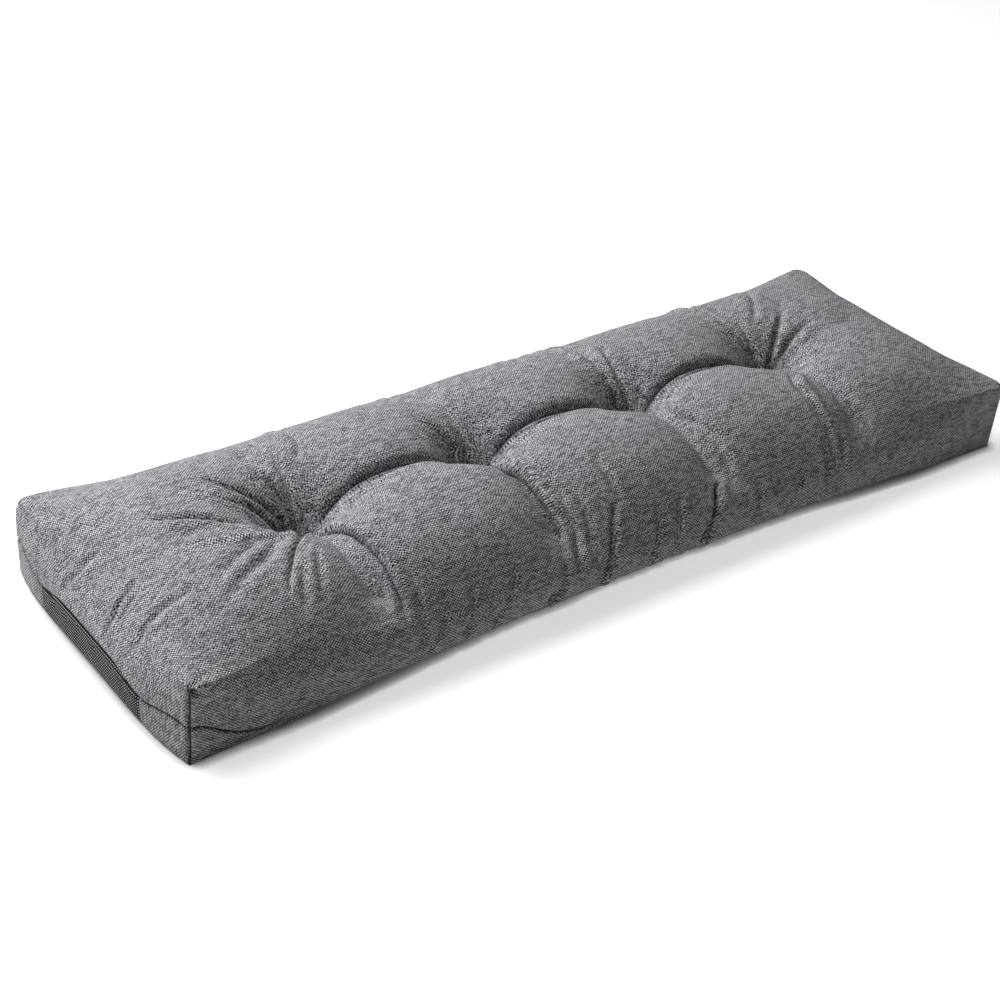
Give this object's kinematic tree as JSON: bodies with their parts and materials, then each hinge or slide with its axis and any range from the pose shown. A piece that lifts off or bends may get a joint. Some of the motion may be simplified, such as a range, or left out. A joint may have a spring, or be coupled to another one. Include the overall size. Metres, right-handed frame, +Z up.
{
  "type": "tufted bench cushion",
  "caption": "Long rectangular bench cushion with a tufted, crowned grey top, boxed corners and a dark dotted panel underneath.",
  "frame": {"origin": "on the floor, under the middle of the cushion", "axes": "+X along the length, +Z up out of the tufted face, -Y towards the front long side"},
  "size_m": [1.228, 0.3916, 0.1409],
  "materials": {
    "grey_cloth": "matte grey melange weave",
    "dark_cloth": "matte near-black cloth with rows of small light dots, taken to be a non-slip cloth"
  },
  "bodies": {
    "root": {"filled_body": "grey_cloth", "front_strip": "grey_cloth", "back_strip": "grey_cloth", "dark_panel": "dark_cloth"}
  },
  "joints": []
}
